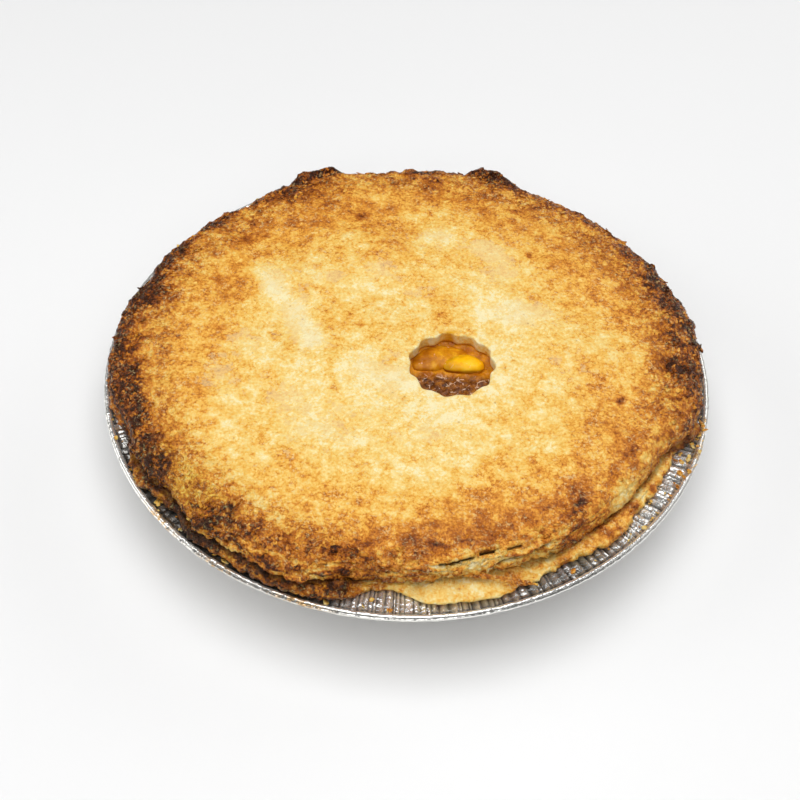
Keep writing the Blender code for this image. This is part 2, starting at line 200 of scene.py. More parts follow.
# Fissures in the front cliff: azimuths of both ends, height share of both ends on the cliff, depth
FISSURES = (
    (277, 284.5, 0.52, 0.36, 6), (285, 289.5, 0.27, 0.24, 4),
    (291, 294.5, 0.3, 0.33, 2.2), (287, 301, 0.85, 0.62, 1.8),
)
FISSURE_WIDTH = 0.1

# A thin sliver of crust that sticks out over the lip: x, y, z and width at points along it
SLIVER = (
    (21, -100.2, 37.2, 2),
    (27.5, -101.2, 37.4, 1.8),
    (34.5, -101.8, 37.1, 1.9),
    (41.5, -102.4, 36.5, 1.7),
    (47.1, -102.9, 35.7, 0.6),
)
SLIVER_THICKNESS = 0.7

# Parts of the flange made darker: at the front left, and at the front right, where it is painted shade
# under the crust's cliff. Start, end and softness in degrees, and a strength
DARKENED_FLANGE = ((198, 258, 8, 0.85), (289, 313, 8, 0.6))
# Gold stains that syrup left on the bead: azimuth and half width in degrees
BEAD_STAINS = ((221, 4), (236, 4), (252, 5), (341, 3))
# Crumbs on the flange and bead: azimuth and its spread in degrees, least and greatest radius, and how many
CRUMBS = (
    (346, 5, 104, 115.5, 90), (330, 12, 108, 114, 26), (262, 14, 107, 113, 12), (222, 12, 110, 114, 26),
    (150, 30, 112, 115, 20),
)
# Flakes on the lid's edge
FLAKES = 900

# Centre, turn in degrees, length, width, height and bow of each peach slice
SLICES = {
    "peach_slice_front": ((21.2, -5, 39.4), 2, 16, 8.6, 5.4, 1.6),
    "peach_slice_back": ((12.6, -2.4, 38.4), 8, 24, 12.5, 6.6, 2.4),
}

# Camera and floor
LENS = 80
SENSOR = 36
CAMERA_ELEVATION = 48.09
CAMERA_ROLL = 1.827
CAMERA_DISTANCE = 0.67628
CAMERA_TARGET = Vector((-0.00247, -0.01431, 0.030))
FLOOR_RADIUS = 0.8
# Soft lights: place and side length in metres, and power in watts
PANELS = {
    "above": ((0, 0, 1.3), 1, 9.6),
    "front": ((0, -0.8, 1.1), 1, 7.6),
    "left": ((-1.3, 0.1, 0.6), 1.1, 7),
    "right back": ((0.9, 0.9, 0.6), 1, 4.6),
    "right": ((1.3, 0.1, 0.6), 1.1, 2.4),
}


# Outline functions, in step with the solids


def turn(azimuth, centre):
    """How far azimuth lies from centre, in degrees from -180 to 180."""
    return (azimuth - centre + 180) % 360 - 180


def bell(distance):
    return np.exp(-(distance**2))


def swell(azimuth, centre, half_width):
    return bell(turn(azimuth, centre) / half_width)


def arc(azimuth, start, end, soft):
    """1 between two azimuths and 0 outside them, with soft ends."""
    middle, half = (start + end) / 2, (end - start) / 2
    return 1 / (1 + np.exp(np.clip((np.abs(turn(azimuth, middle)) - half) / (soft / 3), -40, 40)))


def ease(value, low, high):
    share = np.clip((value - low) / (high - low), 0, 1)
    return share * share * (3 - 2 * share)


def cos_sin(angle):
    """Cosine and sine of an angle in degrees."""
    return math.cos(math.radians(angle)), math.sin(math.radians(angle))


def ripple(azimuth, seed, counts=(7, 11, 17, 26, 37)):
    """Seeded unevenness round the pie, from about -1 to 1."""
    draw = random.Random(seed)
    total = np.zeros(len(azimuth))
    for count in counts:
        total += np.cos(np.radians(count * azimuth) + draw.uniform(0, math.tau))
    return total / math.sqrt(2 * len(counts))


def undulation(points):
    """Soft rise and fall of the lid over the fruit below it, from about -1 to 1."""
    draw = random.Random(7)
    total = np.zeros(len(points))
    for wavelength in (34, 41, 52, 63, 77):
        heading = draw.uniform(0, math.pi)
        phase = draw.uniform(0, math.tau)
        along = (points[:, 0] * math.cos(heading) + points[:, 1] * math.sin(heading)) / wavelength
        total += np.sin(math.tau * along + phase)
    return total / 3


def back_press(azimuth):
    return arc(azimuth, *BACK_PRESS)


def dome(points):
    """Height of the lid's smooth upper surface over points."""
    azimuth, radius = polar(points)
    share = radius / SHOULDER_RADIUS
    pressed = PRESSED_DOME * back_press(azimuth) * ease(share, 0.6, 1)
    return FLANGE_HEIGHT + DOME_RISE - DOME_FALL * share**2 - pressed


def on_dome(points, above):
    return np.column_stack([points, dome(points) + above])


def shoulder_reach(azimuth):
    reach = SHOULDER_RADIUS + SHOULDER_RAGGEDNESS * ripple(azimuth, 13)
    return reach - PRESSED_SHOULDER * back_press(azimuth)


def outline(azimuth, reach, setback, column, seed):
    """How far the edge of the lip or the lid reaches."""
    reach = reach + setback[3] * arc(azimuth, *setback[:3]) - PRESSED_REACH * back_press(azimuth)
    for sizes in EDGE_FEATURES:
        reach = reach + sizes[column] * swell(azimuth, *sizes[:2])
    return reach + OUTLINE_RAGGEDNESS * ripple(azimuth, seed)


def lip_reach(azimuth):
    return outline(azimuth, LIP_REACH, LIP_SETBACK, 2, 11)


def lid_reach(azimuth):
    return np.minimum(outline(azimuth, LID_REACH, LID_SETBACK, 3, 12), lip_reach(azimuth) - LID_INSET)


def flap_rise(azimuth):
    return sum(height * arc(azimuth, *place) for *place, height in FLAPS)


def under_crust(radius):
    """Lowest height of the crust over the flange, which rises where it crosses the bead."""
    over_flange = FLANGE_HEIGHT + FLANGE_RIPPLE + FLANGE_CLEARANCE
    over_bead = FLANGE_HEIGHT + BEAD_RADIUS + PAN_GAP
    share = ease(radius, FLANGE_END - BEAD_RAMP[0], FLANGE_END - BEAD_RAMP[1])
    return over_flange + (over_bead - over_flange) * share


def circle(azimuth, radius, height=0):
    """One ring of points round the axis, at a radius and height that may change along it."""
    angle = np.radians(azimuth)
    return np.stack([radius * np.cos(angle), radius * np.sin(angle), height + 0 * angle], axis=1)


def from_vent(azimuth, outer_radius, share, near_radius):
    """Points part of the way from a fluted circle round the vent to a circle round the axis."""
    bearing, reach = polar(circle(azimuth, outer_radius)[:, :2] - VENT_CENTRE)
    near = near_radius + VENT_FLUTE_DEPTH * np.cos(VENT_FLUTES * np.radians(bearing))
    near = near + VENT_UNEVENNESS * ripple(bearing, 14, (2, 3, 5, 8, 23))
    return VENT_CENTRE + circle(bearing, near + (reach - near) * share)[:, :2]


def polar(points):
    """Azimuth in degrees, from 0 to 360, and radius of each point."""
    return np.degrees(np.arctan2(points[:, 1], points[:, 0])) % 360, np.hypot(points[:, 0], points[:, 1])


# Noise


DIRECTION_COUNT = 1024
DIRECTIONS = np.random.RandomState(5).normal(size=(DIRECTION_COUNT, 3))
DIRECTIONS /= np.linalg.norm(DIRECTIONS, axis=1)[:, None]
OFFSETS = np.random.RandomState(6).uniform(0.1, 0.9, size=(DIRECTION_COUNT, 3))


def hashed(cell, seed):
    mixed = cell[:, 0] * 73856093 ^ cell[:, 1] * 19349663 ^ cell[:, 2] * 83492791 ^ seed * 2971215073
    mixed = (mixed ^ (mixed >> 13)) * 1540483477
    return (mixed ^ (mixed >> 15)) % DIRECTION_COUNT


def noise(points, size, seed):
    """Seeded smooth noise from about -1 to 1, with lumps of about size in millimetres."""
    scaled = points / size
    base = np.floor(scaled).astype(np.int64)
    part = scaled - base
    weight = part**3 * (part * (part * 6 - 15) + 10)
    total = np.zeros(len(points))
    for corner in itertools.product((0, 1), repeat=3):
        direction = DIRECTIONS[hashed(base + corner, seed)]
        share = np.prod(np.where(corner, weight, 1 - weight), axis=1)
        total += share * np.einsum("ij,ij->i", direction, part - corner)
    return total * 1.7


def fractal(points, size, seed, octaves=3, gain=0.5):
    total = np.zeros(len(points))
    for octave in range(octaves):
        total += gain**octave * noise(points, size / 2**octave, seed + 31 * octave)
    return total


def blisters(points, size, seed):
    """Round swellings of about size in millimetres, 1 at the middle of each and 0 between them."""
    scaled = points / size
    base = np.floor(scaled).astype(np.int64)
    nearest = np.full(len(points), 9)
    for step in itertools.product((-1, 0, 1), repeat=3):
        cell = base + step
        gap = cell + OFFSETS[hashed(cell, seed)] - scaled
        nearest = np.minimum(nearest, np.einsum("ij,ij->i", gap, gap))
    return np.clip(1 - nearest / 0.6, 0, 1)


# Meshes


def strip(first, second, first_count, second_count):
    """Faces between two rings of vertices that start at first and second. The counts are equal, or one is
    half the other or 1."""
    if first_count > second_count:
        return strip(second, first, second_count, first_count)
    here = first + np.arange(first_count)
    there = second + np.arange(second_count)
    after = np.roll(here, -1)
    if first_count == second_count:
        faces = [(here, after, np.roll(there, -1), there)]
    elif first_count == 1:
        faces = [(np.full(second_count, first), np.roll(there, -1), there)]
    else:
        start, middle, end = there[::2], there[1::2], np.roll(there, -2)[::2]
        faces = [(here, middle, start), (here, after, middle), (after, end, middle)]
    return np.concatenate([np.stack(corners, axis=1) for corners in faces]).tolist()


def skin(name, rings, closed=False):
    """A closed mesh through rings of points, and the number of each point's ring. A ring of one point is a
    pole. With closed, the last ring joins the first."""
    counts = [len(ring) for ring in rings]
    starts = np.cumsum([0] + counts).tolist()
    faces = []
    for one in range(len(rings) if closed else len(rings) - 1):
        two = (one + 1) % len(rings)
        faces += strip(starts[one], starts[two], counts[one], counts[two])
    piece = mesh_object(name, np.concatenate(rings), faces)
    return piece, np.repeat(range(len(rings)), counts)


def linked(name, data):
    """A new object in the scene that shows data."""
    made = bpy.data.objects.new(name, data)
    bpy.context.scene.collection.objects.link(made)
    return made


def mesh_object(name, points, faces):
    data = bpy.data.meshes.new(name)
    data.from_pydata(points * MM, [], faces)
    shaper = bmesh.new()
    shaper.from_mesh(data)
    bmesh.ops.recalc_face_normals(shaper, faces=shaper.faces)
    shaper.to_mesh(data)
    shaper.free()
    data.shade_smooth()
    return linked(name, data)


def surface_of(piece):
    """Points and normals of a piece's vertices."""
    points, normals = np.empty((2, len(piece.data.vertices) * 3))
    piece.data.vertices.foreach_get("co", points)
    piece.data.vertex_normals.foreach_get("vector", normals)
    return points.reshape(-1, 3) / MM, normals.reshape(-1, 3)


def put_points(piece, points):
    piece.data.vertices.foreach_set("co", (points * MM).astype(np.float32).ravel())
    piece.data.update()


def put_values(piece, **values):
    """Keeps numbers for each vertex, for the material to read."""
    for name, numbers in values.items():
        attribute = piece.data.attributes.new(name, "FLOAT", "POINT")
        attribute.data.foreach_set("value", np.full(len(piece.data.vertices), numbers, np.float32))


def dress(piece, surface):
    piece.data.materials.clear()
    piece.data.materials.append(surface)
    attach(piece, "root")
    return piece


# Browning


def patch(azimuth, radius, centre, middle, along, across, strength):
    """A soft oval of browning on the lid."""
    round_it = middle * np.radians(turn(azimuth, centre)) / along
    return strength * bell(round_it) * bell((radius - middle) / across)


def streak(x, y, start_x, start_y, end_x, end_y, half_width, strength):
    run_x, run_y = end_x - start_x, end_y - start_y
    share = np.clip(((x - start_x) * run_x + (y - start_y) * run_y) / (run_x**2 + run_y**2), 0, 1)
    away = np.hypot(x - start_x - share * run_x, y - start_y - share * run_y)
    return strength * bell(away / half_width)


def lid_browning(points):
    """Browning of the lid from 0 to about 1 at points, which lie on its smooth shape."""
    warp, other_warp = noise(points, 14, 41), noise(points, 14, 42)
    azimuth, radius = polar(points)
    azimuth, radius = azimuth + 1.8 * warp, radius + 2.6 * other_warp
    value = np.full(len(points), LID_BASE_BROWNING)
    for gain, low, high in LID_GROWTH:
        value += gain * ease(radius, low, high)
    for sizes in LID_PATCHES:
        value += patch(azimuth, radius, *sizes)
    for sizes in LID_STREAKS:
        value += streak(points[:, 0] + 2 * warp, points[:, 1] + 2 * other_warp, *sizes)
    mottle = 0.12 * fractal(points, 22, 51, 2) + 0.08 * fractal(points, 6.5, 52, 3, 0.75)
    ragged = 0.13 * fractal(points, 8, 53, 4, 0.75)
    return value + mottle + ease(radius, 84, 102) * ragged


def flour(points):
    """How floury the lid is at points, from 0 to about 1, before its fine pattern."""
    total = np.zeros(len(points))
    for *middle, half_x, half_y, strength in FLOURY:
        total += strength * np.prod(bell((points[:, :2] - middle) / (half_x, half_y)), axis=1)
    return total


def lip_browning(points):
    azimuth, radius = polar(points)
    azimuth = azimuth + 1.5 * noise(points, 12, 61)
    value = np.full(len(points), LIP_BASE_BROWNING)
    for *place, level in LIP_BROWNING.values():
        value += (level - value) * arc(azimuth, *place)
    edge = ease(radius, 101, 108)
    calm = 1 - 0.7 * arc(azimuth, 268, 291, 3)
    return value + calm * (0.16 + 0.12 * edge) * fractal(points, 7, 62, 4, 0.75)


# Pieces


def crumble(points, amount):
    """How far baked pastry stands out of its smooth shape, more where amount is near 1."""
    low = fractal(points, 9, 71, 2)
    crumb = fractal(points, 3.2, 72, 3, 0.65)
    swelling = blisters(points, 5, 73) * np.clip(0.3 + fractal(points, 14, 74, 2), 0, 1)
    wrinkle = 1 - np.abs(np.clip(1.8 * noise(points, 6, 70), -1, 1))
    shift = (0.12 + 0.7 * amount) * low + (0.12 + 0.85 * amount) * crumb + (0.1 + 0.7 * amount) * swelling
    return shift - 0.1 * wrinkle * (1 - amount)


def lid():
    """The lid: vent wall, dome, shoulder, cliff and edge, as one closed ring of dough."""
    fine = np.arange(720) * 0.5
    medium = fine[::2]
    coarse = fine[::8]
    shoulder = shoulder_reach(fine)
    rings, cliff_share = [], []

    def add(ring, share=-1):
        rings.append(ring)
        cliff_share.append(np.full(len(ring), share))

    for share in np.linspace(1, 0, 7):
        flat = from_vent(medium, shoulder[::2], 0, VENT_RADIUS + 0.5 * share)
        add(on_dome(flat, -VENT_RIM_ROUNDING - share * (LID_THICKNESS - VENT_RIM_ROUNDING)))
    for angle in (20, 45, 70):
        cosine, sine = cos_sin(angle)
        flat = from_vent(medium, shoulder[::2], 0, VENT_RADIUS + VENT_RIM_ROUNDING * (1 - cosine))
        add(on_dome(flat, VENT_RIM_ROUNDING * (sine - 1)))
    top_rings = 88
    for number in range(1, top_rings + 1):
        share = number / top_rings
        azimuth = medium if share < 0.42 else fine
        flat = from_vent(azimuth, shoulder_reach(azimuth), share, VENT_RADIUS + VENT_RIM_ROUNDING)
        add(on_dome(flat, UNDULATION * undulation(flat) * ease(share, 0, 0.3)))

    lip, edge = lip_reach(fine), lid_reach(fine)
    lift = arc(fine, *LIFTED_EDGE[:3])
    press = back_press(fine)
    lip_top = under_crust(lip) + LIP_THICKNESS - PRESSED_LIP * press
    bottom = lip_top + LID_EDGE_LIFT + LIFTED_EDGE[3] * lift
    middle = bottom + LID_EDGE_HEIGHT * (1 - 0.45 * lift) - PRESSED_EDGE * press
    top = circle(fine, shoulder)
    shoulder_height = dome(top) + UNDULATION * undulation(top)
    flap = flap_rise(fine)
    cliff_rings = 30
    for number in range(1, cliff_rings + 1):
        share = number / cliff_rings
        cosine, sine = cos_sin(90 * share)
        rise = flap * np.interp(share, (0.3, 0.52, 0.7, 0.87, 1), (0, 0.1, 0.9, 1, 0.7))
        height = middle + (shoulder_height - middle) * cosine + rise
        add(circle(fine, shoulder + (edge - shoulder) * sine, height), share)
    for share in (0.25, 0.55, 0.8, 1):
        cosine, sine = cos_sin(90 * share)
        tuck = EDGE_TUCK * (1 - cosine)
        add(circle(fine, edge - tuck, middle - (middle - bottom) * sine), 1 + 0.3 * share)
    for inward in (1.6, 3.2, 5):
        add(circle(fine, edge - inward, bottom + 0.12 * inward), 1.3)
    inner = SHOULDER_RADIUS - 9
    for azimuth in (medium, fine[::4], coarse):
        add(on_dome(circle(azimuth, inner)[:, :2], -LID_THICKNESS), 2)
        inner -= 6
    for azimuth in (coarse, fine[::4]):
        add(on_dome(from_vent(azimuth, inner, 0.12, VENT_RADIUS), -LID_THICKNESS), 2)
    piece, _ = skin("crust_lid", rings, closed=True)
    shape_lid(piece, np.concatenate(cliff_share))
    return piece


def shape_lid(piece, share):
    """Gives the lid its relief and the values that its material reads. share runs from 0 to 1 down the
    cliff, is below 0 on top and above 1 under the edge."""
    points, normals = surface_of(piece)
    azimuth, radius = polar(points)
    _, from_hole = polar(points[:, :2] - VENT_CENTRE)
    shown = share < 1.5
    edge = ease(radius, 82, 101)
    back = arc(azimuth, 20, 166, 20)
    smooth_cliff = 0.5 * arc(azimuth, 308, 345, 8) * (share > 0)
    amount = edge * (1 - smooth_cliff) * (1 - 0.35 * back)
    calm = ease(from_hole, VENT_RADIUS - 1, VENT_RADIUS + 5)
    relief = crumble(points, amount) * (0.3 + 0.7 * calm) - 0.35 * amount

    on_cliff = ease(share, 0.25, 0.6) * (share <= 1.3)
    flaky = 0.3 + 0.7 * arc(azimuth, 226, 312, 8)
    bent = points + fractal(points, 12, 79, 2)[:, None] * (0, 0, 1.4)
    layers = fractal(bent / (7, 7, 1.3), 1, 75, 2, 0.6)
    layers = np.clip(1.5 * layers, -1, 1) * on_cliff * flaky
    relief += 0.85 * layers
    depth, ledges = np.zeros((2, len(points)))
    for start, end, high_start, high_end, deep in FISSURES:
        along = turn(azimuth, start) / (end - start)
        line = high_start + (high_end - high_start) * along + 0.02 * noise(points, 2.5, 76)
        cut = deep * ease(along, -0.02, 0.12) * (1 - ease(along, 0.85, 1.02))
        depth += cut * bell((share - line) / (FISSURE_WIDTH / 2))
        ledges += 0.3 * cut * bell((share - line) / FISSURE_WIDTH + 1.4)
    torn = arc(azimuth, 206, 262, 6)
    ragged = bell((share - 1) / 0.1) * (1 - 0.4 * back)
    flattened = points * (1, 1, 0.3)
    tatter = (0.7 + 0.3 * torn) * fractal(flattened, 3.6, 80, 3, 0.65)
    tatter += 1.7 * torn * fractal(flattened, 8, 67, 2)
    crease = bell(turn(azimuth, 232.5 + 8 * np.clip(share, 0, 1)) / 0.9)
    crease *= ease(radius, 96, 100) * (share < 1.2)
    shift = relief + ledges + ragged * tatter - depth - 1.2 * crease
    put_points(piece, points + normals * (shift * shown)[:, None])

    value = lid_browning(points) + 0.1 * edge * np.clip(relief, -1.2, 1.2)
    value += 0.14 * layers - 0.1 * on_cliff * flaky * (layers < -0.25)
    value += 0.4 * np.clip(flap_rise(azimuth) / 5, 0, 1) * ease(share, 0.4, 0.6)
    # At the front left the torn rim is paler dough; under the lid's edge the browning is raised as painted
    # shade
    value -= torn * (0.3 * bell((share - 1.04) / 0.07) - 0.2 * (share > 1.15) * shown)
    wall = (from_hole < VENT_RADIUS + 0.3) & shown
    value[wall] = 0.04 + 0.25 * fractal(points[wall], 3, 77, 3)
    stained = np.linalg.norm((points[:, :2] - VENT_CENTRE - STAIN[:2]) / STAIN[2:], axis=1)
    put_values(
        piece,
        browning=np.clip(value, 0, 0.98),
        flour=np.where(share < 0, flour(points), 0),
        stain=bell(stained) * shown,
        crumb=np.clip(0.35 + edge * (1 - 0.65 * arc(azimuth, 256, 345, 10)), 0, 1),
        # Painted shade in the fissures and in the fold's crease
        dark=np.clip(depth / 1.6 + 0.5 * crease, 0, 1),
        olive=arc(azimuth, 208, 234, 4) * ease(radius, 96, 102),
    )


def bottom_crust():
    """The bottom crust: the lip on the flange and the plain dough that lines the pan."""
    fine = np.arange(720) * 0.5
    coarse = fine[::8]
    rings = [
        np.array([[0, 0, CAVITY_FLOOR]]),
        circle(coarse, CAVITY_BASE_RADIUS, CAVITY_FLOOR),
        circle(coarse, CAVITY_WALL_RADIUS, FLANGE_HEIGHT),
        circle(fine[::4], CAVITY_WALL_RADIUS + 1, FLANGE_HEIGHT + 3),
        circle(fine[::2], CAVITY_WALL_RADIUS + 2, FLANGE_HEIGHT + 3.6),
    ]
    lip_start = len(rings)
    lip = lip_reach(fine)
    under = under_crust(lip)
    inner, outer = CAVITY_WALL_RADIUS + 3, lip - LIP_ROUNDING
    thin = 1 - 0.4 * arc(fine, 266, 300, 6)
    low, high = FLANGE_HEIGHT + 3.9, under + LIP_THICKNESS * thin - PRESSED_LIP * back_press(fine)
    for share in np.linspace(0, 1, 18):
        height = low + (high - low) * ease(share, 0.15, 0.6) - LIP_FALL * ease(share, 0.55, 1)
        rings.append(circle(fine, inner + (outer - inner) * share, height))
    half = (high - LIP_FALL - under) / 2
    for angle in (30, 60, 90, 120, 150):
        cosine, sine = cos_sin(angle)
        rings.append(circle(fine, outer + LIP_ROUNDING * sine, under + half + half * cosine))
    lip_end = len(rings)
    wall_top = FLANGE_INNER_RADIUS - PLEAT_DEPTH - PAN_GAP
    rings += [
        circle(fine, outer, under),
        circle(fine, np.minimum(lip - 1.6, FLANGE_END - BEAD_RAMP[0]), FLANGE_HEIGHT + 0.7),
        circle(fine[::2], wall_top + 1.5, FLANGE_HEIGHT + 0.7),
        circle(fine[::4], wall_top, FLANGE_HEIGHT),
        circle(coarse, BASE_RADIUS - 1, FOIL_THICKNESS + PAN_GAP),
        np.array([[0, 0, FOIL_THICKNESS + PAN_GAP]]),
    ]
    piece, ring_number = skin("crust_bottom", rings)
    points, normals = surface_of(piece)
    azimuth, radius = polar(points)
    on_lip = (ring_number >= lip_start) & (ring_number < lip_end)
    ragged = on_lip & (ring_number >= lip_end - RAGGED_RINGS)
    calm = 0.75 * arc(azimuth, 266, 292, 4)
    layers = fractal(points / (7, 7, 1.1), 1, 68, 2) * ragged
    relief = crumble(points, 0.8 * (1 - calm) * on_lip) * on_lip + 0.45 * layers * (1 - calm)
    tatter = fractal(points * (1, 1, 0.3), 4, 78, 3, 0.65) * ragged * (1 - calm)
    placed = points + normals * relief[:, None] + circle(azimuth, tatter)
    lowest = under_crust(polar(placed)[1]) - 0.2
    placed[:, 2] = np.where(on_lip, np.maximum(placed[:, 2], lowest), placed[:, 2])
    put_points(piece, placed)
    value = lip_browning(points) + 0.12 * np.clip(relief, -1.2, 1.2) + 0.1 * layers
    torn = arc(azimuth, 206, 262, 6)
    beyond = np.maximum(radius - lid_reach(azimuth), 0)
    put_values(
        piece,
        browning=np.clip(value, 0, 0.98),
        crumb=np.where(on_lip, 0.85 - 0.45 * arc(azimuth, 262, 345, 6), 0.2),
        olive=torn,
        # Painted shadow on the lip under and just beyond the lid's edge
        dark=(0.75 * torn + 0.6 * arc(azimuth, 292, 348, 6)) * bell(beyond),
    )
    return piece


def pleat_profile():
    """Azimuths of the pan's columns, and how far each stands out of the plain wall, from -1 to 1."""
    draw = np.random.RandomState(21)
    widths = draw.uniform(0.35, 1.65, PLEATS)
    ends = np.concatenate([[0], np.cumsum(widths)]) * 360 / widths.sum()
    azimuth, fold = [], []
    for start, end in zip(ends[:-1], ends[1:]):
        high, low, lean = draw.uniform(0.3, 1), -draw.uniform(0.3, 1), draw.uniform(0.3, 0.7)
        for share, level in ((0, low), (lean, high), (lean + 0.6 * (1 - lean), 0.2 * low)):
            azimuth.append(start + (end - start) * share)
            fold.append(level)
    return np.array(azimuth), np.array(fold)


def foil_pan():
    azimuth, fold = pleat_profile()
    wobble = ripple(azimuth, 31, (3, 5, 8))
    crimps = ripple(azimuth, 32, (61, 87, 113, 149, 191))
    nicks = noise(circle(azimuth, RIM_RADIUS), 2.6, 33)
    plain = np.zeros(len(azimuth))
    depths = np.random.RandomState(22).uniform(0.7, 1, PLEATS)
    # Painted shade in each pleat's crease, darker on the flange than on the wall
    grooves = np.tile((1, 0, 0.4), PLEATS) * np.repeat(depths, 3)
    wall_grooves = 0.6 * grooves
    for *place, strength in DARKENED_FLANGE:
        grooves = grooves + (1 - grooves) * strength * arc(azimuth, *place)
    rings, marks = [], []

    def add(radius, height, mark=plain):
        rings.append(circle(azimuth, radius, height))
        marks.append(mark)

    add(BASE_RADIUS * 0.6, FOIL_THICKNESS)
    add(BASE_RADIUS * 0.93, FOIL_THICKNESS)
    shape = []
    wall = (0, 0.06, 0.2, 0.4, 0.6, 0.8, 0.94, 1)
    for share in wall:
        radius = BASE_RADIUS + (FLANGE_INNER_RADIUS - BASE_RADIUS) * share
        depth = PLEAT_DEPTH * (0.25 + 0.75 * share)
        shape.append((radius + depth * fold - 0.3, FLANGE_HEIGHT * 0.985 * share))
    centre = RIM_RADIUS - ROLL_RADIUS
    for share in (0.12, 0.3, 0.5, 0.7, 0.88, 1):
        radius = FLANGE_INNER_RADIUS + (centre - ROLL_RADIUS + 0.2 - FLANGE_INNER_RADIUS) * share
        shape.append((radius, FLANGE_HEIGHT + PLEAT_RISE * fold + 0.12 * wobble * share * (1 - share)))
    for number, (radius, height) in enumerate(shape):
        add(radius, height + FOIL_THICKNESS / 2, plain if number < len(wall) else grooves)
    for side in range(BEAD_SIDES):
        angle = 165 - side * 330 / (BEAD_SIDES - 1)
        cosine, sine = cos_sin(angle)
        # The bead's seam is pressed in and carries painted shade along it
        seam = bell((angle - 42) / 11)
        reach = ROLL_RADIUS * (1 - 0.08 - BEAD_SEAM * seam + 0.08 * crimps + 0.07 * nicks)
        add(centre + np.minimum(reach * cosine, ROLL_RADIUS), FLANGE_HEIGHT + reach * sine, plain + seam)
    for radius, height in reversed(shape):
        add(radius + FOIL_THICKNESS / 2, np.maximum(height - FOIL_THICKNESS / 2, 0), wall_grooves)
    add(BASE_RADIUS * 0.93, 0)
    add(BASE_RADIUS * 0.6, 0)
    piece, _ = skin("pan_foil", [np.array([[0, 0, FOIL_THICKNESS]]), *rings, np.zeros((1, 3))])
    around, radius = polar(surface_of(piece)[0])
    stain = sum(swell(around, *place) for place in BEAD_STAINS)
    stain = stain * ease(radius, FLANGE_END, FLANGE_END + 0.8)
    put_values(piece, stain=stain, groove=np.concatenate([[0], *marks, [0]]))
    return piece


def filling():
    """Syrup and fruit under the lid. Its top is lumpy and wet where the vent shows it."""
    azimuth = np.arange(180) * 2
    coarse = azimuth[::2]
    side, floor = CAVITY_WALL_RADIUS - FILLING_GAP, CAVITY_FLOOR + FILLING_GAP
    rings = [
        np.array([[0, 0, floor]]),
        circle(coarse, CAVITY_BASE_RADIUS - FILLING_GAP, floor),
        circle(coarse, side, FLANGE_HEIGHT),
        circle(coarse, side - 3, FLANGE_HEIGHT + 5.6),
        circle(coarse, side - 9, FLANGE_HEIGHT + 9.2),
        circle(azimuth, 70, FLANGE_HEIGHT + 10),
    ]
    for near in (34, 24, *np.linspace(20, 0.4, 44)):
        flat = from_vent(azimuth, 70, 0, near) - VENT_CENTRE
        bowl = VENT_CENTRE + flat / np.linalg.norm(flat, axis=1)[:, None] * near
        behind = bowl[:, 1] - VENT_CENTRE[1]
        lowered = VENT_DIP * (1 - ease(near, 14, 18.5)) * (1 - 0.4 * ease(behind, 6, 12))
        ring = on_dome(bowl, -LID_THICKNESS - FILLING_GAP - lowered)
        lumps = 0.7 * fractal(ring, 4, 81, 3, 0.7) + 0.5 * blisters(ring, 3.4, 82) - 0.3
        lumps = lumps * (1 - 0.7 * ease(behind, 0, 4))
        ring[:, 2] += lumps * (1 - ease(near, 15.5, 18.5))
        rings.append(ring)
    rings.append(np.array([[*VENT_CENTRE, ring[:, 2].mean()]]))
    piece, _ = skin("filling_wet", rings)
    points, _ = surface_of(piece)
    behind = points[:, 1] - VENT_CENTRE[1] + 1.5 * noise(points, 6, 83)
    put_values(piece, fruit=ease(behind, -1, 3))
    return piece


def slice_piece(name, centre, yaw, length, width, height, bow):
    """A crescent of peach with a soft ridge along its top and an uneven, wet skin."""
    sections, sides = 44, 40
    cosine, sine = cos_sin(yaw)
    angle = np.arange(sides) * math.tau / sides
    rings = []
    for section in range(sections + 1):
        share = -math.cos(math.pi * section / sections)
        taper = math.sqrt(max(0, 1 - abs(share) ** 2.4))
        along = share * length / 2
        across = bow * (1 - share**2) + np.cos(angle) * width / 2 * taper
        up = np.sin(angle) * height / 2 * taper
        x, y = along * cosine - across * sine, along * sine + across * cosine
        ring = centre + np.stack([x, y, up], axis=1)
        rings.append(ring if 0 < section < sections else ring[:1])
    piece, _ = skin(name + "_wet", rings)
    points, normals = surface_of(piece)
    lumps = 0.28 * fractal(points, 5, 91, 3) + 0.07 * noise(points, 1.1, 92)
    put_points(piece, points + normals * lumps[:, None])
    # Darker towards the left end, the fruit's own tone, and on the steep sides, painted shade
    left = 1 - ease(points[:, 0] - centre[0], -0.5 * length, 0.1 * length)
    side = 1 - ease(normals[:, 2], 0.1, 0.75)
    put_values(piece, rind=np.clip(0.75 * side + 0.45 * left + 0.25 * noise(points, 3, 93), 0, 1))
    return piece


